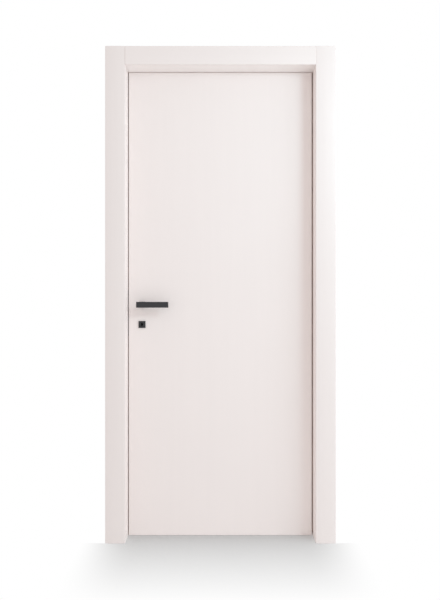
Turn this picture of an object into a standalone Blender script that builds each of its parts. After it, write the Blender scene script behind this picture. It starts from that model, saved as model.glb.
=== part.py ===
"""Rebated flush interior door: lining, casings, leaf, barrel hinges, mortise lock and lever set.

The origin lies on the wall side of the hinge jamb, at floor level and halfway through the wall.
X runs from the latch side to the hinge side, Y from the push side to the pull side, Z upwards.
"""

import math

import bmesh
import bpy
from mathutils import Matrix, Vector

for leftover in list(bpy.data.objects):
    bpy.data.objects.remove(leftover, do_unlink=True)

# Clear opening
CLEAR_WIDTH = 0.836
CLEAR_HEIGHT = 2.100

# Lining
JAMB_THICKNESS = 0.040
JAMB_DEPTH = 0.105
JAMB_EASE = 0.001
SEAT = 0.0003
MITRE_SEAT = 0.00021

# Casings
CASING_WIDTH = 0.087
HEAD_CASING_HEIGHT = 0.078
CASING_THICKNESS = 0.010
CASING_EASE = 0.0018
CASING_EASE_STEPS = 3
BACK_CASING_SETBACK = 0.021
TONGUE_THICKNESS = 0.004
TONGUE_DEPTH = 0.012
FRONT_TONGUE_OFFSET = 0.018
BACK_TONGUE_OFFSET = 0.027

# Seal
SEAL_OFFSET = 0.0035
SEAL_STEM = 0.0024
SEAL_STEM_DEPTH = 0.0035
SEAL_FLANGE = 0.0056
SEAL_FLANGE_HEIGHT = 0.0010
SEAL_BULB_RADIUS = 0.0018
SEAL_BULB_RISE = 0.0022
SEAL_BULB_STEPS = 8

# Leaf
LEAF_GAP = 0.005
FLOOR_GAP = 0.005
LEAF_THICKNESS = 0.044
LIP_THICKNESS = 0.017
LIP_WIDTH = 0.015
SKIN_THICKNESS = 0.003
SKIN_EASE = 0.0008
SKIN_EASE_STEPS = 2
STILE_WIDTH = 0.045
BOTTOM_RAIL_HEIGHT = 0.060

# Hinges
BOTTOM_HINGE_HEIGHT = 0.230
TOP_HINGE_DROP = 0.230
BARREL_RADIUS = 0.007
BARREL_HALF_LENGTH = 0.050
BARREL_DOME = 0.0022
BARREL_DOME_STEPS = 3
BARREL_JOINT = 0.0008
BARREL_STANDOFF = 0.010
BARREL_OFFSET = 0.0055
HINGE_PIN_RADIUS = 0.0035
HINGE_PIN_PLAY = 0.0001
HINGE_PIN_LENGTH = 0.042
STUD_RADIUS = 0.003
STUD_LENGTH = 0.042
STUD_ANGLE = math.radians(50)
BARREL_SIDES = 32
STUD_SIDES = 16

# Lock
BACKSET = 0.0585
SPINDLE_HEIGHT = 1.045
KEY_DROP = 0.090
LOCK_PLANE = 0.012
LOCK_CASE_THICKNESS = 0.012
LOCK_CASE_DEPTH = 0.084
LOCK_CASE_RISE = 0.045
LOCK_CASE_DROP = 0.120
FACE_PLATE_WIDTH = 0.017
FACE_PLATE_LENGTH = 0.215
FACE_PLATE_THICKNESS = 0.0025
FACE_PLATE_CENTRE_DROP = 0.0375
PLATE_END_STEPS = 8
LATCH_RISE = 0.010
LATCH_HEIGHT = 0.028
LATCH_WIDTH = 0.010
DEAD_BOLT_DROP = 0.072
DEAD_BOLT_HEIGHT = 0.032
DEAD_BOLT_WIDTH = 0.008
BOLT_LENGTH = 0.014
STRIKE_POCKET_DEPTH = 0.018
STRIKE_POCKET_PLAY = 0.001

# Lever set
LEVER_HEIGHT = 0.025
LEVER_THICKNESS = 0.010
LEVER_HEEL = 0.019
LEVER_REACH = 0.1225
LEVER_STANDOFF = 0.044
LEVER_EASE = 0.0012
LEVER_EASE_STEPS = 2
NECK_RADIUS = 0.0085
NECK_FLARE = 0.0032
NECK_FLARE_STEPS = 5
NECK_START = 0.0010
SPINDLE_SIDE = 0.008
SPINDLE_PLAY = 0.0003
SPINDLE_OVERLAP = 0.020
SOCKET_DEPTH = 0.024
ROSE_SIDE = 0.026
ROSE_THICKNESS = 0.006
ROSE_PLAY = 0.0005
KEY_PLATE_SIDE = 0.031
KEY_PLATE_THICKNESS = 0.004
PLATE_EASE = 0.0008
PLATE_EASE_STEPS = 2
PASSAGE_RADIUS = 0.011
KEYHOLE_RADIUS = 0.0045
KEYHOLE_CIRCLE_RISE = 0.0025
KEYHOLE_SLOT_WIDTH = 0.0054
KEYHOLE_SLOT_DROP = 0.0075
KEYHOLE_STEPS = 14
PASSAGE_SIDES = 24

# How far a cutter runs past what it cuts
CUT_OVER = 0.004

# Derived positions
HALF_WIDTH = CLEAR_WIDTH / 2
CENTRE_X = -(JAMB_THICKNESS + HALF_WIDTH)
JAMB_FRONT = -JAMB_DEPTH / 2
JAMB_BACK = JAMB_DEPTH / 2
TOTAL_HEIGHT = CLEAR_HEIGHT + HEAD_CASING_HEIGHT
LIP_UNDERSIDE = JAMB_BACK + LEAF_GAP
LEAF_BACK = LIP_UNDERSIDE + LIP_THICKNESS
LEAF_FRONT = LEAF_BACK - LEAF_THICKNESS
LEAF_HALF = HALF_WIDTH - LEAF_GAP
LEAF_TOP = CLEAR_HEIGHT - LEAF_GAP
CORE_FRONT = LEAF_FRONT + SKIN_THICKNESS + SEAT
CORE_BACK = LEAF_BACK - SKIN_THICKNESS - SEAT
LATCH_EDGE_X = CENTRE_X - LEAF_HALF
LIP_EDGE_X = CENTRE_X + LEAF_HALF + LIP_WIDTH
HINGE_X = LIP_EDGE_X + BARREL_OFFSET
HINGE_Y = LEAF_BACK + BARREL_STANDOFF
LOCK_Y = LEAF_FRONT + LOCK_PLANE
SPINDLE_X = LATCH_EDGE_X + BACKSET
KEY_HEIGHT = SPINDLE_HEIGHT - KEY_DROP
FACE_PLATE_CENTRE = SPINDLE_HEIGHT - FACE_PLATE_CENTRE_DROP
LATCH_CENTRE = SPINDLE_HEIGHT + LATCH_RISE
DEAD_BOLT_CENTRE = SPINDLE_HEIGHT - DEAD_BOLT_DROP
TOP_HINGE_HEIGHT = CLEAR_HEIGHT - TOP_HINGE_DROP
MIDDLE_HINGE_HEIGHT = (BOTTOM_HINGE_HEIGHT + TOP_HINGE_HEIGHT) / 2
HINGE_HEIGHTS = (BOTTOM_HINGE_HEIGHT, MIDDLE_HINGE_HEIGHT, TOP_HINGE_HEIGHT)

FRAME_ORIGIN = Vector((0.0, 0.0, 0.0))
LEAF_ORIGIN = Vector((HINGE_X, HINGE_Y, 0.0))
LEVER_ORIGIN = Vector((SPINDLE_X, LOCK_Y, SPINDLE_HEIGHT))

MATERIALS = {
    "lining_laminate": ((0.80, 0.765, 0.750), 0.45, 0.0),
    "casing_laminate": ((0.81, 0.775, 0.760), 0.45, 0.0),
    "leaf_laminate": ((0.81, 0.775, 0.760), 0.42, 0.0),
    "core_board": ((0.62, 0.50, 0.36), 0.85, 0.0),
    "seal_rubber": ((0.70, 0.66, 0.63), 0.80, 0.0),
    "black_metal": ((0.035, 0.035, 0.038), 0.50, 0.6),
    "lock_steel": ((0.55, 0.54, 0.52), 0.35, 1.0),
    "hinge_metal": ((0.50, 0.49, 0.47), 0.30, 1.0),
}


def material(slot):
    """The slot's material, made on first use."""
    found = bpy.data.materials.get(slot)
    if found:
        return found
    colour, roughness, metallic = MATERIALS[slot]
    made = bpy.data.materials.new(slot)
    made.use_nodes = True
    shader = made.node_tree.nodes["Principled BSDF"]
    shader.inputs["Base Color"].default_value = (*colour, 1.0)
    shader.inputs["Roughness"].default_value = roughness
    shader.inputs["Metallic"].default_value = metallic
    return made


def add_object(name, bm, slot, origin):
    """Turns a mesh modelled in the row's frame into an object standing at its origin."""
    bmesh.ops.recalc_face_normals(bm, faces=bm.faces)
    bmesh.ops.translate(bm, vec=-origin, verts=bm.verts)
    mesh = bpy.data.meshes.new(name)
    bm.to_mesh(mesh)
    bm.free()
    made = bpy.data.objects.new(name, mesh)
    made.location = origin
    bpy.context.scene.collection.objects.link(made)
    if slot:
        mesh.materials.append(material(slot))
    return made


def smooth_round(made, angle=math.radians(35)):
    """Shades round faces smooth and keeps the edges between flat faces sharp."""
    bm = bmesh.new()
    bm.from_mesh(made.data)
    for face in bm.faces:
        face.smooth = True
    for edge in bm.edges:
        edge.smooth = edge.calc_face_angle(0.0) < angle
    bm.to_mesh(made.data)
    bm.free()


def prism(bm, start, end):
    """A closed bar between two rings that hold the same number of points."""
    first = [bm.verts.new(point) for point in start]
    last = [bm.verts.new(point) for point in end]
    count = len(first)
    for i in range(count):
        j = (i + 1) % count
        bm.faces.new((first[i], first[j], last[j], last[i]))
    bm.faces.new(first)
    bm.faces.new(list(reversed(last)))


def block(bm, low, high):
    """A box between two corners."""
    ring = ((low[0], low[1]), (high[0], low[1]), (high[0], high[1]), (low[0], high[1]))
    prism(
        bm,
        [(x, y, low[2]) for x, y in ring],
        [(x, y, high[2]) for x, y in ring],
    )


def ease(bm, chosen, radius, steps):
    """Rounds the edges that the test picks."""
    edges = [edge for edge in bm.edges if chosen(edge)]
    bmesh.ops.bevel(
        bm,
        geom=edges,
        offset=radius,
        offset_type="OFFSET",
        segments=steps,
        profile=0.5,
        affect="EDGES",
        clamp_overlap=True,
    )


def on_plane(y):
    """Picks the edges that lie in the plane at this Y."""
    return lambda edge: all(abs(vert.co.y - y) < 1e-6 for vert in edge.verts)


def revolve(bm, profile, sides, place):
    """A closed solid of revolution about the local Z, from points of radius and height."""
    rings = []
    for radius, height in profile:
        if radius == 0.0:
            rings.append([bm.verts.new(place @ Vector((0.0, 0.0, height)))])
            continue
        ring = []
        for i in range(sides):
            turn = 2 * math.pi * i / sides
            spot = Vector((radius * math.cos(turn), radius * math.sin(turn), height))
            ring.append(bm.verts.new(place @ spot))
        rings.append(ring)
    for k, ring in enumerate(rings):
        other = rings[(k + 1) % len(rings)]
        if len(ring) == 1 and len(other) == 1:
            continue
        for i in range(sides):
            j = (i + 1) % sides
            if len(ring) == 1:
                bm.faces.new((ring[0], other[j], other[i]))
            elif len(other) == 1:
                bm.faces.new((ring[i], ring[j], other[0]))
            else:
                bm.faces.new((ring[i], ring[j], other[j], other[i]))


def rod(bm, start, end, radius, sides):
    """A straight round bar between two points."""
    along = end - start
    place = Matrix.Translation(start) @ along.to_track_quat("Z", "Y").to_matrix().to_4x4()
    revolve(bm, ((0.0, 0.0), (radius, 0.0), (radius, along.length), (0.0, along.length)), sides, place)


def cutter(name, bm):
    """A hidden tool body for a Boolean."""
    made = add_object(name, bm, None, FRAME_ORIGIN)
    made.hide_render = True
    made.display_type = "WIRE"
    return made


def combine(target, tool, operation):
    """Joins a tool body to the target or cuts it away."""
    step = target.modifiers.new(f"{operation.lower()} {tool.name}", "BOOLEAN")
    step.operation = operation
    step.solver = "EXACT"
    step.object = tool


def mitred_surround(names, profile, half_width, height, foot, slot, origin):
    """Two uprights and a head of one profile, mitred where they meet.

    The profile holds points of distance outwards from the opening's edge, and Y.
    """
    made = []
    for name, side in ((names[0], -1), (names[1], 1)):
        bm = bmesh.new()
        prism(
            bm,
            [(CENTRE_X + side * (half_width + u), y, foot) for u, y in profile],
            [(CENTRE_X + side * (half_width + u), y, height + u - MITRE_SEAT) for u, y in profile],
        )
        made.append(add_object(name, bm, slot, origin))
    bm = bmesh.new()
    prism(
        bm,
        [(CENTRE_X - (half_width + u - MITRE_SEAT), y, height + u) for u, y in profile],
        [(CENTRE_X + (half_width + u - MITRE_SEAT), y, height + u) for u, y in profile],
    )
    made.append(add_object(names[2], bm, slot, origin))
    return made


# Lining: one grooved profile, mitred at the top
def lining_profile():
    front_low = FRONT_TONGUE_OFFSET - SEAT
    front_high = FRONT_TONGUE_OFFSET + TONGUE_THICKNESS + SEAT
    back_low = BACK_TONGUE_OFFSET - SEAT
    back_high = BACK_TONGUE_OFFSET + TONGUE_THICKNESS + SEAT
    groove = TONGUE_DEPTH + 2 * SEAT
    stem_low = SEAL_OFFSET - SEAT
    stem_high = SEAL_OFFSET + SEAL_STEM + SEAT
    stem_floor = JAMB_BACK - SEAL_STEM_DEPTH - SEAT
    return (
        (0.0, JAMB_FRONT),
        (front_low, JAMB_FRONT),
        (front_low, JAMB_FRONT + groove),
        (front_high, JAMB_FRONT + groove),
        (front_high, JAMB_FRONT),
        (JAMB_THICKNESS, JAMB_FRONT),
        (JAMB_THICKNESS, JAMB_BACK),
        (back_high, JAMB_BACK),
        (back_high, JAMB_BACK - groove),
        (back_low, JAMB_BACK - groove),
        (back_low, JAMB_BACK),
        (stem_high, JAMB_BACK),
        (stem_high, stem_floor),
        (stem_low, stem_floor),
        (stem_low, JAMB_BACK),
        (JAMB_EASE, JAMB_BACK),
        (0.0, JAMB_BACK - JAMB_EASE),
    )


jamb_latch_side, jamb_hinge_side, jamb_head = mitred_surround(
    ("jamb_latch_side", "jamb_hinge_side", "jamb_head"),
    lining_profile(),
    HALF_WIDTH,
    CLEAR_HEIGHT,
    0.0,
    "lining_laminate",
    FRAME_ORIGIN,
)


# Seal: a stem in the lining's groove and a flanged bulb under the leaf's lip
def seal_profile():
    flange_low = JAMB_BACK + SEAT
    flange_high = flange_low + SEAL_FLANGE_HEIGHT
    middle = SEAL_OFFSET + SEAL_STEM / 2
    points = [
        (SEAL_OFFSET, flange_low),
        (SEAL_OFFSET, JAMB_BACK - SEAL_STEM_DEPTH),
        (SEAL_OFFSET + SEAL_STEM, JAMB_BACK - SEAL_STEM_DEPTH),
        (SEAL_OFFSET + SEAL_STEM, flange_low),
        (middle + SEAL_FLANGE / 2, flange_low),
        (middle + SEAL_FLANGE / 2, flange_high),
    ]
    for i in range(SEAL_BULB_STEPS + 1):
        turn = math.pi * i / SEAL_BULB_STEPS
        points.append((
            middle + SEAL_BULB_RADIUS * math.cos(turn),
            flange_high + SEAL_BULB_RISE * math.sin(turn),
        ))
    points.append((middle - SEAL_FLANGE / 2, flange_high))
    points.append((middle - SEAL_FLANGE / 2, flange_low))
    return points


for seal in mitred_surround(
    ("seal_latch_side", "seal_hinge_side", "seal_head"),
    seal_profile(),
    HALF_WIDTH,
    CLEAR_HEIGHT,
    0.0,
    "seal_rubber",
    FRAME_ORIGIN,
):
    smooth_round(seal)


# Casings: uprights to full height, the head butted between them, each with a tongue in the lining
def casing(name, across, tongue_across, upwards, tongue_upwards, back, outwards):
    """One board between X limits and Z limits, with a tongue behind it between limits of its own."""
    face = back + outwards * CASING_THICKNESS
    tip = back - outwards * TONGUE_DEPTH
    bm = bmesh.new()
    block(
        bm,
        (min(across), min(back, face), min(upwards)),
        (max(across), max(back, face), max(upwards)),
    )
    ease(bm, on_plane(face), CASING_EASE, CASING_EASE_STEPS)
    board = add_object(name, bm, "casing_laminate", FRAME_ORIGIN)
    smooth_round(board)
    middle = (back + face) / 2
    bm = bmesh.new()
    block(
        bm,
        (min(tongue_across), min(tip, middle), min(tongue_upwards)),
        (max(tongue_across), max(tip, middle), max(tongue_upwards)),
    )
    combine(board, cutter(f"{name}_tongue", bm), "UNION")


def casing_set(prefix, inner, tongue, back, outwards):
    tongue_end = tongue + TONGUE_THICKNESS
    for name, side in (("latch_side", -1), ("hinge_side", 1)):
        edge = CENTRE_X + side * HALF_WIDTH
        casing(
            f"{prefix}_casing_{name}",
            (edge + side * inner, edge + side * CASING_WIDTH),
            (edge + side * tongue, edge + side * tongue_end),
            (0.0, TOTAL_HEIGHT),
            (0.0, CLEAR_HEIGHT),
            back,
            outwards,
        )
    reach = HALF_WIDTH + inner - SEAT
    casing(
        f"{prefix}_casing_head",
        (CENTRE_X - reach, CENTRE_X + reach),
        (CENTRE_X - HALF_WIDTH, CENTRE_X + HALF_WIDTH),
        (CLEAR_HEIGHT + inner, TOTAL_HEIGHT),
        (CLEAR_HEIGHT + tongue, CLEAR_HEIGHT + tongue_end),
        back,
        outwards,
    )


casing_set("front", 0.0, FRONT_TONGUE_OFFSET, JAMB_FRONT - SEAT, -1)
casing_set("back", BACK_CASING_SETBACK, BACK_TONGUE_OFFSET, JAMB_BACK + SEAT, 1)

# Leaf: rebated stiles and top rail, bottom rail, core and two skins
stile_profile = (
    (-STILE_WIDTH, CORE_FRONT),
    (0.0, CORE_FRONT),
    (0.0, LIP_UNDERSIDE),
    (LIP_WIDTH, LIP_UNDERSIDE),
    (LIP_WIDTH, CORE_BACK),
    (-STILE_WIDTH, CORE_BACK),
)
latch_stile, hinge_stile, top_rail = mitred_surround(
    ("leaf_latch_stile", "leaf_hinge_stile", "leaf_top_rail"),
    stile_profile,
    LEAF_HALF,
    LEAF_TOP,
    FLOOR_GAP,
    "leaf_laminate",
    LEAF_ORIGIN,
)

core_half = LEAF_HALF - STILE_WIDTH - SEAT
core_foot = FLOOR_GAP + BOTTOM_RAIL_HEIGHT + SEAT
bm = bmesh.new()
block(
    bm,
    (CENTRE_X - core_half, CORE_FRONT, FLOOR_GAP),
    (CENTRE_X + core_half, CORE_BACK, FLOOR_GAP + BOTTOM_RAIL_HEIGHT),
)
add_object("leaf_bottom_rail", bm, "leaf_laminate", LEAF_ORIGIN)

bm = bmesh.new()
block(
    bm,
    (CENTRE_X - core_half, CORE_FRONT, core_foot),
    (CENTRE_X + core_half, CORE_BACK, LEAF_TOP - STILE_WIDTH - SEAT),
)
leaf_core = add_object("leaf_core", bm, "core_board", LEAF_ORIGIN)


def skin(name, face, inside, overlap):
    half = LEAF_HALF + overlap
    bm = bmesh.new()
    block(
        bm,
        (CENTRE_X - half, min(face, inside), FLOOR_GAP),
        (CENTRE_X + half, max(face, inside), LEAF_TOP + overlap),
    )
    ease(bm, on_plane(face), SKIN_EASE, SKIN_EASE_STEPS)
    return add_object(name, bm, "leaf_laminate", LEAF_ORIGIN)


front_skin = skin("leaf_front_skin", LEAF_FRONT, LEAF_FRONT + SKIN_THICKNESS, 0.0)
back_skin = skin("leaf_back_skin", LEAF_BACK, LEAF_BACK - SKIN_THICKNESS, LIP_WIDTH)


# Lock, face plate, latch, dead bolt and strike
def keyhole_ring(grow):
    """The keyhole's outline about its centre: a round head over a slot."""
    radius = KEYHOLE_RADIUS + grow
    slot = KEYHOLE_SLOT_WIDTH / 2 + grow
    opening = math.asin(slot / radius)
    points = []
    for i in range(KEYHOLE_STEPS + 1):
        turn = -math.pi / 2 + opening + (2 * math.pi - 2 * opening) * i / KEYHOLE_STEPS
        points.append((radius * math.cos(turn), KEYHOLE_CIRCLE_RISE + radius * math.sin(turn)))
    points.append((-slot, -KEYHOLE_SLOT_DROP - grow))
    points.append((slot, -KEYHOLE_SLOT_DROP - grow))
    return points


def keyhole_cutter(name, low, high, grow):
    bm = bmesh.new()
    ring = keyhole_ring(grow)
    prism(
        bm,
        [(SPINDLE_X + x, low, KEY_HEIGHT + z) for x, z in ring],
        [(SPINDLE_X + x, high, KEY_HEIGHT + z) for x, z in ring],
    )
    return cutter(name, bm)


def stadium(x_low, x_high, width, length, y, z):
    """A plate with round ends in the YZ plane."""
    bm = bmesh.new()
    ring = []
    for end, lean in ((1, 0.0), (-1, math.pi)):
        for i in range(PLATE_END_STEPS + 1):
            turn = lean + math.pi * i / PLATE_END_STEPS
            ring.append((
                y + width / 2 * math.cos(turn),
                z + end * (length / 2 - width / 2) + width / 2 * math.sin(turn),
            ))
    prism(bm, [(x_low, a, b) for a, b in ring], [(x_high, a, b) for a, b in ring])
    return bm


def bolt_block(x_low, x_high, width, height, centre, grow):
    bm = bmesh.new()
    block(
        bm,
        (x_low, LOCK_Y - width / 2 - grow, centre - height / 2 - grow),
        (x_high, LOCK_Y + width / 2 + grow, centre + height / 2 + grow),
    )
    return bm


case_front = LATCH_EDGE_X + FACE_PLATE_THICKNESS + SEAT
case_end = LATCH_EDGE_X + LOCK_CASE_DEPTH
bm = bmesh.new()
block(
    bm,
    (case_front, LOCK_Y - LOCK_CASE_THICKNESS / 2, SPINDLE_HEIGHT - LOCK_CASE_DROP),
    (case_end, LOCK_Y + LOCK_CASE_THICKNESS / 2, SPINDLE_HEIGHT + LOCK_CASE_RISE),
)
lock_case = add_object("lock_case", bm, "lock_steel", LEAF_ORIGIN)

face_plate = add_object(
    "lock_face_plate",
    stadium(
        LATCH_EDGE_X,
        LATCH_EDGE_X + FACE_PLATE_THICKNESS,
        FACE_PLATE_WIDTH,
        FACE_PLATE_LENGTH,
        LOCK_Y,
        FACE_PLATE_CENTRE,
    ),
    "lock_steel",
    LEAF_ORIGIN,
)
strike_x = CENTRE_X - HALF_WIDTH
strike_plate = add_object(
    "strike_plate",
    stadium(
        strike_x - FACE_PLATE_THICKNESS,
        strike_x,
        FACE_PLATE_WIDTH,
        FACE_PLATE_LENGTH,
        LOCK_Y,
        FACE_PLATE_CENTRE,
    ),
    "lock_steel",
    FRAME_ORIGIN,
)

bolt_shapes = (
    ("latch_bolt", LATCH_WIDTH, LATCH_HEIGHT, LATCH_CENTRE),
    ("dead_bolt", DEAD_BOLT_WIDTH, DEAD_BOLT_HEIGHT, DEAD_BOLT_CENTRE),
)
for name, width, height, centre in bolt_shapes:
    bolt_end = LATCH_EDGE_X + BOLT_LENGTH
    made = add_object(
        name,
        bolt_block(LATCH_EDGE_X, bolt_end, width, height, centre, 0.0),
        "lock_steel",
        LEAF_ORIGIN,
    )
    window = cutter(
        f"{name}_window",
        bolt_block(strike_x - CUT_OVER, bolt_end + SEAT, width, height, centre, SEAT),
    )
    combine(face_plate, window, "DIFFERENCE")
    combine(lock_case, window, "DIFFERENCE")
    pocket = cutter(
        f"{name}_pocket",
        bolt_block(
            strike_x - STRIKE_POCKET_DEPTH,
            strike_x + LEAF_GAP / 2,
            width,
            height,
            centre,
            STRIKE_POCKET_PLAY,
        ),
    )
    combine(strike_plate, pocket, "DIFFERENCE")
    combine(jamb_latch_side, pocket, "DIFFERENCE")

plate_bed_width = FACE_PLATE_WIDTH + 2 * SEAT
plate_bed_length = FACE_PLATE_LENGTH + 2 * SEAT
strike_bed = cutter(
    "strike_bed",
    stadium(
        strike_x - FACE_PLATE_THICKNESS - SEAT,
        strike_x + LEAF_GAP / 2,
        plate_bed_width,
        plate_bed_length,
        LOCK_Y,
        FACE_PLATE_CENTRE,
    ),
)
combine(jamb_latch_side, strike_bed, "DIFFERENCE")
face_bed = cutter(
    "face_plate_bed",
    stadium(
        LATCH_EDGE_X - LEAF_GAP / 2,
        LATCH_EDGE_X + FACE_PLATE_THICKNESS + SEAT,
        plate_bed_width,
        plate_bed_length,
        LOCK_Y,
        FACE_PLATE_CENTRE,
    ),
)
combine(latch_stile, face_bed, "DIFFERENCE")

bm = bmesh.new()
block(
    bm,
    (
        LATCH_EDGE_X - LEAF_GAP / 2,
        LOCK_Y - LOCK_CASE_THICKNESS / 2 - SEAT,
        SPINDLE_HEIGHT - LOCK_CASE_DROP - SEAT,
    ),
    (
        case_end + SEAT,
        LOCK_Y + LOCK_CASE_THICKNESS / 2 + SEAT,
        SPINDLE_HEIGHT + LOCK_CASE_RISE + SEAT,
    ),
)
mortise = cutter("lock_mortise", bm)
combine(latch_stile, mortise, "DIFFERENCE")
combine(leaf_core, mortise, "DIFFERENCE")

bm = bmesh.new()
rod(
    bm,
    Vector((SPINDLE_X, LEAF_FRONT - CUT_OVER, SPINDLE_HEIGHT)),
    Vector((SPINDLE_X, LEAF_BACK + CUT_OVER, SPINDLE_HEIGHT)),
    PASSAGE_RADIUS,
    PASSAGE_SIDES,
)
passage = cutter("spindle_passage", bm)
bm = bmesh.new()
rod(
    bm,
    Vector((SPINDLE_X, LEAF_FRONT, SPINDLE_HEIGHT)),
    Vector((SPINDLE_X, LEAF_BACK, SPINDLE_HEIGHT)),
    SPINDLE_SIDE * math.sqrt(0.5) + ROSE_PLAY,
    PASSAGE_SIDES,
)
follower = cutter("follower_bore", bm)
key_way = keyhole_cutter("key_way", LEAF_FRONT - CUT_OVER, LEAF_BACK + CUT_OVER, 0.0)
for piece in (front_skin, back_skin, leaf_core):
    combine(piece, passage, "DIFFERENCE")
    combine(piece, key_way, "DIFFERENCE")
combine(lock_case, follower, "DIFFERENCE")
combine(lock_case, key_way, "DIFFERENCE")


# Lever set: a flat bar with a rounded neck on each side of one square spindle
def neck_profile(length):
    """Radius and height from the leaf's face, flaring into the bar's back."""
    points = [(0.0, NECK_START), (NECK_RADIUS, NECK_START)]
    for i in range(NECK_FLARE_STEPS + 1):
        turn = math.pi / 2 * i / NECK_FLARE_STEPS
        points.append((
            NECK_RADIUS + NECK_FLARE * (1 - math.cos(turn)),
            length - NECK_FLARE + NECK_FLARE * math.sin(turn),
        ))
    points.append((NECK_RADIUS + NECK_FLARE, length + LEVER_THICKNESS / 2))
    points.append((0.0, length + LEVER_THICKNESS / 2))
    return points


def lever_side(prefix, face, outwards):
    """Lever, rose and key plate on one face of the leaf."""
    low = face + outwards * LEVER_STANDOFF
    high = low + outwards * LEVER_THICKNESS
    bm = bmesh.new()
    block(
        bm,
        (SPINDLE_X - LEVER_HEEL, min(low, high), SPINDLE_HEIGHT - LEVER_HEIGHT / 2),
        (SPINDLE_X + LEVER_REACH, max(low, high), SPINDLE_HEIGHT + LEVER_HEIGHT / 2),
    )
    ease(bm, lambda edge: True, LEVER_EASE, LEVER_EASE_STEPS)
    lever = add_object(f"{prefix}_lever", bm, "black_metal", LEVER_ORIGIN)
    bm = bmesh.new()
    turn = Matrix.Rotation(-outwards * math.pi / 2, 4, "X")
    place = Matrix.Translation((SPINDLE_X, face, SPINDLE_HEIGHT)) @ turn
    revolve(bm, neck_profile(LEVER_STANDOFF), BARREL_SIDES, place)
    combine(lever, cutter(f"{prefix}_neck", bm), "UNION")
    bm = bmesh.new()
    half = SPINDLE_SIDE / 2 + SPINDLE_PLAY
    mouth = face
    floor = face + outwards * SOCKET_DEPTH
    block(
        bm,
        (SPINDLE_X - half, min(mouth, floor), SPINDLE_HEIGHT - half),
        (SPINDLE_X + half, max(mouth, floor), SPINDLE_HEIGHT + half),
    )
    combine(lever, cutter(f"{prefix}_socket", bm), "DIFFERENCE")
    smooth_round(lever)

    for name, side, thickness, height in (
        ("rose", ROSE_SIDE, ROSE_THICKNESS, SPINDLE_HEIGHT),
        ("key_plate", KEY_PLATE_SIDE, KEY_PLATE_THICKNESS, KEY_HEIGHT),
    ):
        inside = face + outwards * SEAT
        outside = inside + outwards * thickness
        bm = bmesh.new()
        block(
            bm,
            (SPINDLE_X - side / 2, min(inside, outside), height - side / 2),
            (SPINDLE_X + side / 2, max(inside, outside), height + side / 2),
        )
        ease(bm, on_plane(outside), PLATE_EASE, PLATE_EASE_STEPS)
        plate = add_object(f"{prefix}_{name}", bm, "black_metal", LEAF_ORIGIN)
        if name == "rose":
            bm = bmesh.new()
            rod(
                bm,
                Vector((SPINDLE_X, inside - outwards * CUT_OVER, height)),
                Vector((SPINDLE_X, outside + outwards * CUT_OVER, height)),
                NECK_RADIUS + ROSE_PLAY,
                BARREL_SIDES,
            )
            combine(plate, cutter(f"{prefix}_rose_bore", bm), "DIFFERENCE")
        else:
            hole = keyhole_cutter(
                f"{prefix}_keyhole",
                inside - outwards * CUT_OVER,
                outside + outwards * CUT_OVER,
                0.0,
            )
            combine(plate, hole, "DIFFERENCE")


lever_side("front", LEAF_FRONT, -1)
lever_side("back", LEAF_BACK, 1)

bm = bmesh.new()
block(
    bm,
    (SPINDLE_X - SPINDLE_SIDE / 2, LEAF_FRONT - SPINDLE_OVERLAP, SPINDLE_HEIGHT - SPINDLE_SIDE / 2),
    (SPINDLE_X + SPINDLE_SIDE / 2, LEAF_BACK + SPINDLE_OVERLAP, SPINDLE_HEIGHT + SPINDLE_SIDE / 2),
)
add_object("spindle", bm, "lock_steel", LEVER_ORIGIN)

# Hinges: a frame half with the pin below, a leaf half with the bore above
jamb_stud_way = Vector((0.0, -1.0, 0.0))
leaf_stud_way = Vector((-math.sin(STUD_ANGLE), -math.cos(STUD_ANGLE), 0.0))


def dome(end, towards):
    """Points of a barrel's rounded end, from its side to its flat tip."""
    points = []
    for i in range(BARREL_DOME_STEPS + 1):
        turn = math.pi / 2 * i / BARREL_DOME_STEPS
        points.append((
            BARREL_RADIUS - BARREL_DOME * (1 - math.cos(turn)),
            end - towards * BARREL_DOME * (1 - math.sin(turn)),
        ))
    points.append((0.0, end))
    return points


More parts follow.
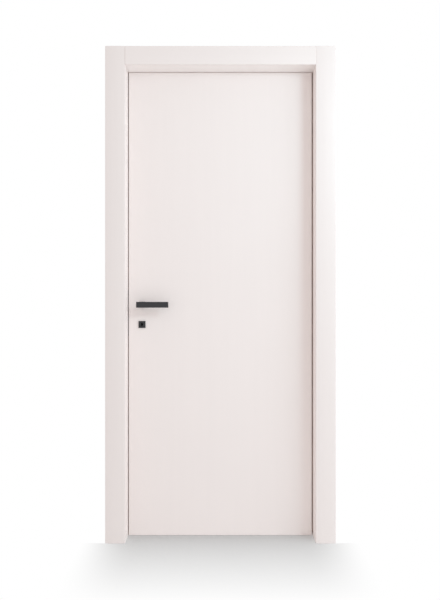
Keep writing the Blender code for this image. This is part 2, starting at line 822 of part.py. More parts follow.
for number, height in enumerate(HINGE_HEIGHTS, start=1):
    place = Matrix.Translation((HINGE_X, HINGE_Y, height))
    bore_radius = (HINGE_PIN_RADIUS + HINGE_PIN_PLAY) / math.cos(math.pi / BARREL_SIDES)
    bore_end = HINGE_PIN_LENGTH + 2 * BARREL_JOINT
    frame_profile = (
        *reversed(dome(-BARREL_HALF_LENGTH, -1)),
        (BARREL_RADIUS, 0.0),
        (HINGE_PIN_RADIUS, 0.0),
        (HINGE_PIN_RADIUS, HINGE_PIN_LENGTH),
        (0.0, HINGE_PIN_LENGTH),
    )
    leaf_profile = (
        (bore_radius, BARREL_JOINT),
        (BARREL_RADIUS, BARREL_JOINT),
        *dome(BARREL_HALF_LENGTH, 1),
        (0.0, bore_end),
        (bore_radius, bore_end),
    )
    halves = (
        ("frame_half", frame_profile, -1, jamb_stud_way, FRAME_ORIGIN, (jamb_hinge_side,)),
        ("leaf_half", leaf_profile, 1, leaf_stud_way, LEAF_ORIGIN, (hinge_stile, back_skin)),
    )
    for half_name, profile, side, way, origin, bored in halves:
        middle = Vector((HINGE_X, HINGE_Y, height + side * BARREL_HALF_LENGTH / 2))
        root = middle + way * (HINGE_PIN_RADIUS + BARREL_RADIUS) / 2
        tip = middle + way * STUD_LENGTH
        bm = bmesh.new()
        revolve(bm, profile, BARREL_SIDES, place)
        half_object = add_object(f"hinge_{number}_{half_name}", bm, "hinge_metal", origin)
        bm = bmesh.new()
        rod(bm, root, tip, STUD_RADIUS, STUD_SIDES)
        combine(half_object, cutter(f"hinge_{number}_{half_name}_stud", bm), "UNION")
        smooth_round(half_object)
        bm = bmesh.new()
        rod(bm, root, tip + way * SEAT, STUD_RADIUS + SEAT, STUD_SIDES)
        bore = cutter(f"hinge_{number}_{half_name}_bore", bm)
        for piece in bored:
            combine(piece, bore, "DIFFERENCE")
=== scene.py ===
import math

import bmesh
import bpy
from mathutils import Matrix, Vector


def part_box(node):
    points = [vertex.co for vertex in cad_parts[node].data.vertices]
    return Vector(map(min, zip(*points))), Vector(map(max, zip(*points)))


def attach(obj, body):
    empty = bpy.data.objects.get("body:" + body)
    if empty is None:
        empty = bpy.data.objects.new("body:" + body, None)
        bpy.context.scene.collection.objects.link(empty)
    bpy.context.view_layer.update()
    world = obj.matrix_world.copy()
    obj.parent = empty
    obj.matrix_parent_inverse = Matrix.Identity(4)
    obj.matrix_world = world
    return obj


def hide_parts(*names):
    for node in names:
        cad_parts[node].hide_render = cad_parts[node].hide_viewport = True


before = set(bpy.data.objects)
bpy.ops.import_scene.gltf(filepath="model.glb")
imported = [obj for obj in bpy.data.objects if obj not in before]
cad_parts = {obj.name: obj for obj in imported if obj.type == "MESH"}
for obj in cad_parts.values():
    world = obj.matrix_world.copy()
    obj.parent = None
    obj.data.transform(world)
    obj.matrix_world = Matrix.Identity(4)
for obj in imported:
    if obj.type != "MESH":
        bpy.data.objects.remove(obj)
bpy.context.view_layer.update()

# The looks of a rebated flush door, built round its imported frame. Lengths are in metres.
# X runs from the latch side to the hinge side, Y from the push side to the pull side.
RIGHT, AHEAD, UP = Vector((1, 0, 0)), Vector((0, 1, 0)), Vector((0, 0, 1))

# Places read from the frame
SKIN_LOW, SKIN_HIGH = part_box("leaf_front_skin")
HEAD_LOW, HEAD_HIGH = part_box("front_casing_head")
LEVER_LOW, LEVER_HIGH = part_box("front_lever")
ROSE_LOW, ROSE_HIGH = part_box("front_rose")
KEY_PLATE_LOW, KEY_PLATE_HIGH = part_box("front_key_plate")
LEAF_FACE = SKIN_LOW.y
MIDDLE_Y = (LEAF_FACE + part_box("leaf_back_skin")[1].y) / 2
CASING_FACE = HEAD_LOW.y
CLEAR_HEIGHT = HEAD_LOW.z
CLEAR_HALF = (HEAD_HIGH.x - HEAD_LOW.x) / 2
MIDDLE_X = (HEAD_LOW.x + HEAD_HIGH.x) / 2
SPINDLE_X = (ROSE_LOW.x + ROSE_HIGH.x) / 2
SPINDLE_Z = (ROSE_LOW.z + ROSE_HIGH.z) / 2
KEY_Z = (KEY_PLATE_LOW.z + KEY_PLATE_HIGH.z) / 2

# How far cutters stand out, and when two places count as one
CUT_OVER = 0.002
NEAR = 0.00001
MERGE = 0.000005
COPY_MERGE = 0.00001

# Angles between faces: still flat, an arris to ease, and round enough to shade smooth
COPY_FLAT = math.radians(0.5)
COPY_ARRIS = math.radians(50.0)
SMOOTH_BELOW = math.radians(35.0)

# Parts of a face's normal along an axis: flats, sides of turned pieces, faces along and across
FLAT_FACE = 0.985
TURNED_SIDE = 0.05
FACES_ALONG = 0.9
FACES_ACROSS = 0.5

# Casing boards
CASING_THICKNESS = 0.010
CROWN = 0.0020
CROWN_FACETS = 14
CASING_EASE = 0.0018
CASING_EASE_STEPS = 5
CASING_EASE_START = 0.006
TONGUE_START = 0.001
TONGUE_ROOT = 0.003
HEAD_DROP = 0.0036

# Lining, leaf, seals and bolts
COPY_EASE_STEPS = 2
LINING_EASE = 0.0003
SEAL_EASE = 0.0001
FRONT_SKIN_EASE = 0.0005
BACK_SKIN_EASE = 0.0003
BAND_EASE = 0.0002
BOLT_EASE = 0.0006
MITRE_OVERLAP = 0.0006
SKIN_PAST_SIDE = 0.0018
SKIN_PAST_TOP = -0.0005
SKIN_PAST_FOOT = 0.0035

# Lever
BAR_THICKNESS = 0.010
BAR_EASE = 0.0004
BAR_EASE_STEPS = 5
BAR_PAST_END = 0.0010
BAR_PAST_UNDER = 0.0008
NECK_RADIUS = 0.0085
NECK_SIDES = 64
NECK_CHAMFER = 0.0004
NECK_FLARE = 0.0032
FLARE_STEPS = 8
SOCKET_SIDE = 0.0086
SOCKET_DEPTH = 0.0230

# Grub screw under the lever's neck
GRUB_INSET = 0.0145
GRUB_HOLE = 0.00265
GRUB_HOLE_DEPTH = 0.0055
GRUB_SUNK = 0.0006
GRUB_RADIUS = 0.0025
GRUB_LENGTH = 0.0040
GRUB_CHAMFER = 0.0004
GRUB_SIDES = 32
HEXAGON_RADIUS = 0.00145
HEXAGON_DEPTH = 0.0018

# Rose and key plate
PLATE_EASE = 0.0008
PLATE_EASE_STEPS = 4
PLATE_CORNER = 0.002
ROSE_HOLE = 0.0090
ROSE_HOLE_SIDES = 64
KEY_CIRCLE = 0.0052
KEY_CIRCLE_SIDES = 48
KEY_CIRCLE_RISE = 0.0025
KEY_SLOT = 0.0064
KEY_SLOT_DROP = 0.0075
KEY_RIM_REACH = 0.009
KEY_CHAMFER = 0.0004
KEY_CHAMFER_STEPS = 2
# The black sheet behind each keyhole, which stands in as painted shade
CURTAIN = 0.0010
CURTAIN_PLAY = 0.0001
CURTAIN_RIM = 0.0008
CURTAIN_DISH = 0.0002

# Lock plates and their countersunk screws
PLATE_ARRIS = 0.0003
SCREW_RADIUS = 0.0034
SCREW_SIDES = 40
# Shares of the screw's radius, each with its distance from the top of the head
SCREW_HEAD = ((0.45, -0.0018), (0.96, -0.0004), (1.0, -0.0002), (0.94, 0.0))
SCREW_INSET = 0.0085
SCREW_SUNK = 0.0002
SINK_RADIUS = SCREW_RADIUS * 1.06
SINK_TIP = SCREW_RADIUS * 0.55
SINK_DEPTH = 0.0021
SINK_CONE = 0.0017
CROSS_REACH = 0.0019
CROSS_HALF = 0.0004
CROSS_DEPTH = 0.0011
CROSS_OVER = 0.0005

# Hinges
BARREL_RADIUS = 0.007
BARREL_HALF = 0.050
BARREL_SIDES = 56
BARREL_DOME = 0.0022
DOME_STEPS = 6
BARREL_CHAMFER = 0.0004
BARREL_JOINT = 0.0008
PIN_RADIUS = 0.0035
PIN_LENGTH = 0.042
PIN_CHAMFER = 0.0006
PIN_BORE = 0.00365
BORE_PAST_PIN = 0.0016
STUD_RADIUS = 0.003
STUD_TIP = STUD_RADIUS * 0.6
STUD_TAPER = 0.0012
STUD_SIDES = 32
STUD_LENGTH = 0.042
STUD_SHORT = 0.0018
STUD_ANGLE = math.radians(50)


# Modelling steps
def choose(piece=None):
    """Leaves one object selected and active, or none selected."""
    bpy.ops.object.select_all(action="DESELECT")
    if piece is not None:
        piece.select_set(True)
        bpy.context.view_layer.objects.active = piece


def fresh(name):
    """Names the new object and opens it for editing, with all of it selected."""
    piece = bpy.context.object
    piece.name = name
    piece.data.name = name
    bpy.ops.object.mode_set(mode="EDIT")
    bpy.ops.mesh.select_all(action="SELECT")
    return piece


def box(name, low, high):
    """A block between two corners, left open for editing."""
    low, high = Vector(low), Vector(high)
    choose()
    bpy.ops.mesh.primitive_cube_add(size=1.0, location=(0.0, 0.0, 0.0))
    piece = fresh(name)
    bpy.ops.transform.resize(value=high - low, center_override=(0.0, 0.0, 0.0))
    bpy.ops.transform.translate(value=(high + low) / 2)
    return piece


def pick(piece, kind, test):
    """Selects the vertices, edges or faces that pass a test, and nothing else."""
    bpy.ops.mesh.select_mode(type=kind)
    bpy.ops.mesh.select_all(action="DESELECT")
    mesh = bmesh.from_edit_mesh(piece.data)
    for element in {"VERT": mesh.verts, "EDGE": mesh.edges, "FACE": mesh.faces}[kind]:
        if test(element):
            element.select_set(True)
    mesh.select_flush_mode()
    bmesh.update_edit_mesh(piece.data)


def near(value, target):
    """Whether two places on an axis count as one."""
    return abs(value - target) < NEAR


def on_axis(axis, length):
    """A vector of one length along one axis."""
    return tuple(length * float(i == axis) for i in range(3))


def corners(places):
    """The lowest and the highest corner of the box round some places."""
    return [Vector([end(place[i] for place in places) for i in range(3)]) for end in (min, max)]


def soften(piece, width, steps, test):
    """Rounds the edges that pass a test."""
    pick(piece, "EDGE", test)
    bpy.ops.mesh.bevel(offset=width, segments=steps, affect="EDGES", clamp_overlap=True)


def reopen(piece):
    """Opens a piece for editing, with all of it selected."""
    choose(piece)
    bpy.ops.object.mode_set(mode="EDIT")
    bpy.ops.mesh.select_all(action="SELECT")


def shut(piece):
    """Leaves edit mode with faces outwards."""
    bpy.ops.mesh.select_all(action="SELECT")
    bpy.ops.mesh.normals_make_consistent(inside=False)
    bpy.ops.object.mode_set(mode="OBJECT")
    return piece


def close(piece):
    """Leaves edit mode with doubles merged, faces outwards and rounds smooth."""
    bpy.ops.mesh.select_mode(type="VERT")
    bpy.ops.mesh.select_all(action="SELECT")
    bpy.ops.mesh.remove_doubles(threshold=MERGE)
    shut(piece)
    choose(piece)
    bpy.ops.object.shade_smooth_by_angle(angle=SMOOTH_BELOW)
    return piece


def settled(piece):
    """Cleans up a piece after its joins and cuts."""
    reopen(piece)
    return close(piece)


def unite(piece, tool, way):
    """Adds the tool's shape to a piece, or cuts it out, and drops the tool."""
    step = piece.modifiers.new(way.lower(), "BOOLEAN")
    step.operation = way
    step.solver = "EXACT"
    step.object = tool
    choose(piece)
    bpy.ops.object.modifier_apply(modifier=step.name)
    bpy.data.objects.remove(tool)
    return piece


def turned(name, start, direction, profile, sides):
    """A solid turned on a lathe: (radius, distance) rings from the start along a direction."""
    radius, way = profile[0]
    choose()
    bpy.ops.mesh.primitive_circle_add(
        vertices=sides,
        radius=radius,
        fill_type="NGON",
        location=start + direction * way,
        rotation=UP.rotation_difference(direction).to_euler(),
    )
    bpy.ops.object.transform_apply(location=True, rotation=True, scale=True)
    piece = fresh(name)
    for next_radius, next_way in profile[1:]:
        advance = direction * (next_way - way)
        grow = next_radius / radius
        bpy.ops.mesh.extrude_region_move(TRANSFORM_OT_translate={"value": advance})
        bpy.ops.transform.resize(
            value=(grow, grow, grow), center_override=start + direction * next_way
        )
        radius, way = next_radius, next_way
    return shut(piece)


def copied(piece, name, shift=(0.0, 0.0, 0.0), mirror_y=None):
    """The same shape again, with its own mesh, moved or mirrored across a plane."""
    choose(piece)
    bpy.ops.object.duplicate(linked=False)
    again = fresh(name)
    if mirror_y is not None:
        bpy.ops.transform.resize(value=(1.0, -1.0, 1.0), center_override=(0.0, mirror_y, 0.0))
    bpy.ops.transform.translate(value=shift)
    return close(again)


def eased_copy(node_name, name, width, grown=()):
    """A merged copy of a frame node, with some sides moved out and its edges softened."""
    piece = bpy.data.objects.new(name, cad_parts[node_name].data.copy())
    bpy.context.scene.collection.objects.link(piece)
    piece.data.name = name
    reopen(piece)
    bpy.ops.mesh.remove_doubles(threshold=COPY_MERGE)
    bpy.ops.mesh.normals_make_consistent(inside=False)
    bpy.ops.mesh.dissolve_limited(angle_limit=COPY_FLAT)
    for axis, place, shift in grown:
        pick(piece, "VERT", lambda v: near(v.co[axis], place))
        bpy.ops.transform.translate(value=on_axis(axis, shift))
    bpy.ops.mesh.select_mode(type="EDGE")
    bpy.ops.mesh.select_all(action="DESELECT")
    bpy.ops.mesh.edges_select_sharp(sharpness=COPY_ARRIS)
    bpy.ops.mesh.bevel(
        offset=width, segments=COPY_EASE_STEPS, affect="EDGES", clamp_overlap=True
    )
    return close(piece)


def flatten_flats(piece):
    """Keeps broad faces flat in shading, so that only the rounded edges turn the light."""
    choose(piece)
    step = piece.modifiers.new("flat_faces", "WEIGHTED_NORMAL")
    step.keep_sharp = True
    step.weight = 100
    bpy.ops.object.modifier_apply(modifier=step.name)


def mark_rounded_edges(piece, lathe_axis):
    """Stores 1 on the small faces that round an edge, and 0 on flats and turned sides."""
    mark = piece.data.attributes.new("rounded_edge", "FLOAT", "FACE")
    for face in piece.data.polygons:
        flat = max(abs(part) for part in face.normal) > FLAT_FACE
        side = lathe_axis is not None and abs(face.normal[lathe_axis]) < TURNED_SIDE
        mark.data[face.index].value = float(not flat and not side)


def dressed(piece, finish, body, slot, *nodes, lathe_axis=None):
    """Gives a piece its finish, its body and the frame nodes it stands for; the slot is not used.
    """
    flatten_flats(piece)
    mark_rounded_edges(piece, lathe_axis)
    piece.data.materials.clear()
    piece.data.materials.append(finish)
    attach(piece, body)
    if nodes:
        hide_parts(*nodes)


# Shader sums written as Python expressions
class Wire:
    """A shader value that takes part in sums; each operator adds one Math node."""

    def __init__(self, tree, socket):
        self.tree = tree
        self.socket = socket

    def sum(self, operation, *terms):
        return self.tree.node("ShaderNodeMath", {"operation": operation}, dict(enumerate(terms)))

    def __add__(self, other):
        return self.sum("ADD", self, other)

    def __radd__(self, other):
        return self.sum("ADD", other, self)

    def __sub__(self, other):
        return self.sum("SUBTRACT", self, other)

    def __rsub__(self, other):
        return self.sum("SUBTRACT", other, self)

    def __mul__(self, other):
        return self.sum("MULTIPLY", self, other)

    def __rmul__(self, other):
        return self.sum("MULTIPLY", other, self)

    def __pow__(self, other):
        return self.sum("POWER", self, other)

    def __rpow__(self, other):
        return self.sum("POWER", other, self)

    def __abs__(self):
        return self.sum("ABSOLUTE", self)


class Tree:
    """The nodes of a material or of the world."""

    def __init__(self, owner):
        owner.use_nodes = True
        self.nodes = owner.node_tree.nodes
        self.links = owner.node_tree.links

    def give(self, node, key, value):
        """Sets a node's socket to a number or colour, or links it."""
        target = node.inputs[key]
        if isinstance(value, Wire):
            self.links.new(value.socket, target)
        else:
            target.default_value = value

    def node(self, kind, settings, inputs, out=0):
        """Adds one node: its settings first, then its sockets' values or links."""
        made = self.nodes.new(kind)
        for key, value in settings.items():
            setattr(made, key, value)
        for key, value in inputs.items():
            self.give(made, key, value)
        return Wire(self, made.outputs[out])

    def ray(self, kind):
        """1 for rays of one kind, such as those that the camera or a gloss sends."""
        return self.node("ShaderNodeLightPath", {}, {}, f"Is {kind} Ray")


class Finish(Tree):
    """A material under construction, with its Principled shader."""

    def __init__(self, name, colour, roughness, metallic=0.0, **extra):
        self.material = bpy.data.materials.new(name)
        super().__init__(self.material)
        self.shader = self.nodes["Principled BSDF"]
        self.set("Base Color", (*colour, 1.0))
        self.set("Roughness", roughness)
        self.set("Metallic", metallic)
        for socket, value in extra.items():
            self.set(socket.replace("_", " "), value)
        self.place = self.node("ShaderNodeTexCoord", {}, {}, "Object")

    def set(self, key, value):
        self.give(self.shader, key, value)

    def parts(self, vector):
        """The three parts of a vector, such as X, Y and Z of a place."""
        split = self.node("ShaderNodeSeparateXYZ", {}, {0: vector}).socket.node
        return [Wire(self, part) for part in split.outputs]

    def edges(self):
        """1 on the rounded edges of a piece, 0 on its flats."""
        return self.node("ShaderNodeAttribute", {"attribute_name": "rounded_edge"}, {}, "Fac")

    def drawn_out(self, along, squeeze):
        """The place with one axis squeezed, which draws a pattern out along it."""
        scale = [squeeze if i == along else 1.0 for i in range(3)]
        return self.node("ShaderNodeMapping", {}, {"Vector": self.place, "Scale": scale})

    def noise(self, vector, scale, detail=2.0, rough=0.5, distortion=0.0):
        inputs = {
            "Vector": vector,
            "Scale": scale,
            "Detail": detail,
            "Roughness": rough,
            "Distortion": distortion,
        }
        return self.node("ShaderNodeTexNoise", {}, inputs)

    def between(self, value, low, high, to_low=0.0, to_high=1.0, kind="LINEAR"):
        """Carries a value from one range to another, and keeps it inside."""
        inputs = {
            "Value": value,
            "From Min": low,
            "From Max": high,
            "To Min": to_low,
            "To Max": to_high,
        }
        settings = {"interpolation_type": kind, "clamp": True}
        return self.node("ShaderNodeMapRange", settings, inputs)

    def mix(self, factor, first, second):
        """A colour mix; each colour is a triple or a wire."""
        first, second = [c if isinstance(c, Wire) else (*c, 1.0) for c in (first, second)]
        inputs = {0: factor, 6: first, 7: second}
        return self.node("ShaderNodeMix", {"data_type": "RGBA"}, inputs, 2)

    def bump(self, height, distance, under=None):
        """The surface's tilt from a height, on top of another bump where one is given."""
        inputs = {"Height": height, "Distance": distance, "Strength": 1.0}
        if under is not None:
            inputs["Normal"] = under
        return self.node("ShaderNodeBump", {}, inputs)


def toned(colour, factor):
    """A colour made lighter or darker by a factor."""
    return tuple(min(part * factor, 1.0) for part in colour)


# Finishes
LAMINATE = (0.920, 0.850, 0.825)
# Painted shade: the casings' colour is the laminate made darker
CASING_SHADED_TONE = (0.879, 0.812, 0.788)
# Painted light: the linings' colour is the laminate made lighter, most on the head lining's
# underside
LINING_LIT_TONE = (0.952, 0.880, 0.854)
HEAD_LINING_LIT_TONE = (0.970, 0.922, 0.902)
# Edge bands: a warmer tone, partly the band's own and partly painted shade for the gaps round the
# leaf
EDGE_BAND_AND_GAP_SHADE = (0.920, 0.825, 0.790)
# Painted shade for the linings inside the gaps round the leaf
GAP_PAINTED_SHADE = (0.935, 0.765, 0.690)
RAW_BOARD = (0.52, 0.40, 0.27)
SEAL_BROWN = (0.50, 0.27, 0.18)
BLACK = (0.021, 0.021, 0.024)
# Near black for the painted shade inside the keyholes
KEYHOLE_SHADE_COLOUR = (0.004, 0.004, 0.0045)
STEEL = (0.56, 0.55, 0.53)
NICKEL = (0.50, 0.49, 0.475)
LAMINATE_ROUGHNESS = 0.42
STEEL_ROUGHNESS = 0.30
NICKEL_ROUGHNESS = 0.24
# Where the painted gap shade starts and fades on the linings
GAP_SHADE_START = -0.0004
GAP_SHADE_FULL = 0.0012
GAP_SHADE_REACH = 0.0025
GAP_SHADE_FADE = 0.001


def satin_laminate(name, along, colour, gap_shade=False):
    """Satin foil: a faint combed grain along one axis, soft clouding and fine pores.

    Where the shut leaf meets a lining, a warmer, darker colour is painted on the lining as the
    shade in the gap.
    """
    made = Finish(name, colour, LAMINATE_ROUGHNESS)
    grain = made.drawn_out(along, squeeze=0.035)
    combed = made.noise(grain, scale=420.0, detail=3.0, rough=0.6)
    figure = made.noise(grain, scale=46.0, detail=4.0, rough=0.55, distortion=0.4)
    cloud = made.noise(made.place, scale=2.3)
    tone = (combed - 0.5) * 0.25 + (figure - 0.5) * 0.45 + (cloud - 0.5) * 0.4
    foil = made.mix(made.between(tone, -0.35, 0.35), toned(colour, 0.982), toned(colour, 1.012))
    # Painted shade: behind the leaf's face and round its edges the lining takes a warmer, darker
    # colour
    if gap_shade:
        x, y, z = made.parts(made.place)
        inner, outer = GAP_SHADE_REACH - GAP_SHADE_FADE, GAP_SHADE_REACH + GAP_SHADE_FADE
        behind_face = made.between(y, LEAF_FACE + GAP_SHADE_START, LEAF_FACE + GAP_SHADE_FULL)
        at_side = made.between(abs(x - MIDDLE_X), CLEAR_HALF + outer, CLEAR_HALF + inner)
        under_head = made.between(z, CLEAR_HEIGHT + outer, CLEAR_HEIGHT + inner)
        foil = made.mix(behind_face * (at_side * under_head), foil, GAP_PAINTED_SHADE)
    # Edge wear and painted highlight: rounded edges are made lighter in patches, and a little
    # glossier
    rubbed_and_highlight = made.edges() * made.between(made.noise(made.place, scale=30.0, detail=3.0), 0.45, 0.65)
    made.set("Base Color", made.mix(rubbed_and_highlight, foil, toned(colour, 1.02)))
    touch = made.noise(made.place, scale=9.0, detail=3.0, rough=0.6)
    satin = made.between(
        touch + combed * 0.3, 0.35, 0.95, LAMINATE_ROUGHNESS - 0.05, LAMINATE_ROUGHNESS + 0.07
    )
    made.set("Roughness", satin - rubbed_and_highlight * 0.08)
    pores = made.noise(made.place, scale=900.0)
    made.set("Normal", made.bump(pores, 0.000012, made.bump(combed, 0.00004)))
    return made.material


def black_satin(name):
    """Powder-coated black: fine orange peel, and edges a little polished by hands."""
    made = Finish(name, BLACK, roughness=0.42)
    peel = made.noise(made.place, scale=700.0, detail=3.0, rough=0.55)
    wear = made.noise(made.place, scale=60.0, detail=4.0, rough=0.6)
    handled = made.edges() * made.between(wear, 0.4, 0.6)
    coat = made.mix(wear, toned(BLACK, 0.85), toned(BLACK, 1.2))
    made.set("Base Color", made.mix(handled, coat, toned(BLACK, 1.35)))
    made.set("Roughness", made.between(wear, 0.3, 0.7, 0.38, 0.47) - handled * 0.07)
    made.set("Normal", made.bump(peel, 0.00003))
    return made.material


def brushed_metal(name, colour, roughness):
    """Metal with fine upright brush lines and faint handling marks."""
    made = Finish(name, colour, roughness, metallic=1.0)
    brush = made.drawn_out(2, squeeze=0.02)
    lines = made.noise(brush, scale=2600.0, detail=3.0, rough=0.6)
    marks = made.noise(made.place, scale=55.0, detail=4.0, rough=0.6)
    bright = made.edges() * made.between(marks, 0.4, 0.6)
    worn = made.mix(marks, toned(colour, 0.9), toned(colour, 1.06))
    made.set("Base Color", made.mix(bright, worn, toned(colour, 1.15)))
    brushed = made.between(
        lines * 0.5 + marks * 0.5, 0.3, 0.7, roughness - 0.05, roughness + 0.1
    )
    made.set("Roughness", brushed - bright * 0.06)
    made.set("Normal", made.bump(lines, 0.00001))
    return made.material


def painted_keyhole_shade(name):
    """A near-black sheet colour with no gloss: painted shade inside the key way."""
    made = Finish(name, KEYHOLE_SHADE_COLOUR, roughness=0.9, Specular_IOR_Level=0.0)
    shade_noise = made.noise(made.place, scale=1500.0, detail=3.0, rough=0.6)
    made.set("Base Color", made.mix(shade_noise, toned(KEYHOLE_SHADE_COLOUR, 0.7), toned(KEYHOLE_SHADE_COLOUR, 1.4)))
    made.set("Roughness", made.between(shade_noise, 0.3, 0.7, 0.85, 0.95))
    made.set("Normal", made.bump(shade_noise, 0.00006))
    return made.material


def soft_seal(name):
    """Matt brown rubber with a dusty bloom."""
    made = Finish(name, SEAL_BROWN, roughness=0.62)
    skin = made.noise(made.place, scale=500.0)
    dust = made.noise(made.place, scale=24.0, detail=3.0)
    made.set("Base Color", made.mix(dust, toned(SEAL_BROWN, 0.94), toned(SEAL_BROWN, 1.04)))
    made.set("Roughness", made.between(dust, 0.3, 0.7, 0.55, 0.7))
    made.set("Normal", made.bump(skin, 0.00003))
    return made.material


def pressed_board(name):
    """Chips of pressed wood, seen only inside the leaf."""
    made = Finish(name, RAW_BOARD, roughness=0.85)
    chips = {"Vector": made.place, "Scale": 240.0}
    flecks = made.parts(made.node("ShaderNodeTexVoronoi", {}, chips, "Color"))[0]
    made.set("Base Color", made.mix(flecks, toned(RAW_BOARD, 0.75), toned(RAW_BOARD, 1.2)))
    made.set("Roughness", made.between(flecks, 0.0, 1.0, 0.78, 0.92))
    made.set("Normal", made.bump(flecks, 0.0001))
    return made.material


leaf_laminate = satin_laminate("leaf_satin_laminate", 2, LAMINATE)
# The stiles' and rails' bands carry painted gap shade in their warmer tone
stile_band = satin_laminate("stile_edge_band", 2, EDGE_BAND_AND_GAP_SHADE)
rail_band = satin_laminate("rail_edge_band", 0, EDGE_BAND_AND_GAP_SHADE)
# The linings carry painted light: lightest on the head lining, and lighter on the hinge side than
# the latch side
latch_lining = satin_laminate("latch_lining_lit_laminate", 2, LINING_LIT_TONE, gap_shade=True)
hinge_lining = satin_laminate("hinge_lining_laminate", 2, toned(LINING_LIT_TONE, 1.02), gap_shade=True)
head_lining = satin_laminate("head_lining_lit_laminate", 0, HEAD_LINING_LIT_TONE, gap_shade=True)
# The casings carry painted shade, a little less of it on the head casing
upright_casing = satin_laminate("upright_casing_laminate", 2, CASING_SHADED_TONE)
level_casing = satin_laminate("level_casing_laminate", 0, toned(CASING_SHADED_TONE, 1.02))
black_coat = black_satin("black_powder_coat")
lock_steel = brushed_metal("brushed_lock_steel", STEEL, STEEL_ROUGHNESS)
hinge_nickel = brushed_metal("satin_hinge_nickel", NICKEL, NICKEL_ROUGHNESS)
seal_rubber = soft_seal("soft_brown_seal")
shade_in_keyhole = painted_keyhole_shade("keyhole_shade_black")
core_board = pressed_board("pressed_core_board")


# Casings: boards whose faces bow out a little between their long edges
def crowned_casing(node_name, along, outwards, drop):
    """A board with a crowned, eased face and the tongue that holds it in the lining."""
    low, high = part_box(node_name)
    low.z -= drop
    across = 2 - along
    face = low.y if outwards < 0 else high.y
    back = face - outwards * CASING_THICKNESS
    board = box(
        f"{node_name}_board",
        (low.x, min(face, back), low.z),
        (high.x, max(face, back), high.z),
    )
    width = high[across] - low[across]
    middle = (low[across] + high[across]) / 2
    lines = [low[across] + width * i / CROWN_FACETS for i in range(CROWN_FACETS + 1)]
    for line in lines[1:-1]:
        bpy.ops.mesh.select_all(action="SELECT")
        bpy.ops.mesh.bisect(plane_co=on_axis(across, line), plane_no=on_axis(across, 1.0))
    for line in lines:
        fall = CROWN * ((line - middle) / (width / 2)) ** 2
        pick(board, "VERT", lambda v: near(v.co.y, face) and near(v.co[across], line))
        bpy.ops.transform.translate(value=(0.0, -outwards * fall, 0.0))

    def rim(edge):
        ends = [v.co for v in edge.verts]
        if any((v.y - back) * outwards < CASING_EASE_START for v in ends):
            return False
        at_side = all(near(v[across], low[across]) or near(v[across], high[across]) for v in ends)
        at_end = all(near(v[along], low[along]) or near(v[along], high[along]) for v in ends)
        same_end = near(ends[0][along], ends[1][along])
        return at_end if same_end else at_side

    soften(board, CASING_EASE, CASING_EASE_STEPS, rim)
    shut(board)
    places = [v.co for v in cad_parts[node_name].data.vertices]
    tip_low, tip_high = corners([v for v in places if (back - v.y) * outwards > TONGUE_START])
    root = back + outwards * TONGUE_ROOT
    tip_low.y, tip_high.y = sorted((tip_low.y if outwards > 0 else tip_high.y, root))
    unite(board, shut(box(f"{node_name}_tongue", tip_low, tip_high)), "UNION")
    return settled(board)


for prefix, outwards in (("front", -1), ("back", 1)):
    for side, along in (("latch_side", 2), ("hinge_side", 2), ("head", 0)):
        node_name = f"{prefix}_casing_{side}"
        drop = HEAD_DROP if node_name == "front_casing_head" else 0.0
        board = crowned_casing(node_name, along, outwards, drop)
        finish = level_casing if along == 0 else upright_casing
        dressed(board, finish, "frame", "casing_laminate", node_name)


# Lining, leaf, bolts and seals: the frame's own shapes with their arrises softened
COPIES = (
    ("jamb_latch_side", "latch_side_lining", latch_lining, "frame", "lining_laminate", LINING_EASE),
    ("jamb_hinge_side", "hinge_side_lining", hinge_lining, "frame", "lining_laminate", LINING_EASE),
    ("jamb_head", "head_lining", head_lining, "frame", "lining_laminate", LINING_EASE),
    ("seal_latch_side", "latch_side_seal", seal_rubber, "frame", "seal_rubber", SEAL_EASE),
    ("seal_hinge_side", "hinge_side_seal", seal_rubber, "frame", "seal_rubber", SEAL_EASE),
    ("seal_head", "head_seal", seal_rubber, "frame", "seal_rubber", SEAL_EASE),
    ("leaf_front_skin", "front_skin", leaf_laminate, "leaf", "leaf_laminate", FRONT_SKIN_EASE),
    ("leaf_back_skin", "back_skin", leaf_laminate, "leaf", "leaf_laminate", BACK_SKIN_EASE),
    ("leaf_latch_stile", "latch_stile", stile_band, "leaf", "leaf_laminate", BAND_EASE),
    ("leaf_hinge_stile", "hinge_stile", stile_band, "leaf", "leaf_laminate", BAND_EASE),
    ("leaf_top_rail", "top_rail", rail_band, "leaf", "leaf_laminate", BAND_EASE),
    ("leaf_bottom_rail", "bottom_rail", rail_band, "leaf", "leaf_laminate", BAND_EASE),
    ("latch_bolt", "magnet_latch", lock_steel, "leaf", "lock_steel", BOLT_EASE),
    ("dead_bolt", "square_dead_bolt", lock_steel, "leaf", "lock_steel", BOLT_EASE),
)
# Sides that stand a little past the frame's, as the narrow gaps in the photograph show:
# for each, its axis, its place on that axis and how far it moves
head_places = [v.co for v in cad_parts["jamb_head"].data.vertices]
mitre_feet = [v.x for v in head_places if near(v.z, CLEAR_HEIGHT)]
GROWN = {
    "jamb_head": (
        (2, CLEAR_HEIGHT, -HEAD_DROP),
        (0, min(mitre_feet), -MITRE_OVERLAP),
        (0, max(mitre_feet), MITRE_OVERLAP),
    ),
    "leaf_front_skin": (
        (0, SKIN_LOW.x, -SKIN_PAST_SIDE),
        (2, SKIN_HIGH.z, SKIN_PAST_TOP),
        (2, SKIN_LOW.z, -SKIN_PAST_FOOT),
    ),
}
for node_name, name, finish, body, slot, width in COPIES:
    copy = eased_copy(node_name, name, width, GROWN.get(node_name, ()))
    dressed(copy, finish, body, slot, node_name)


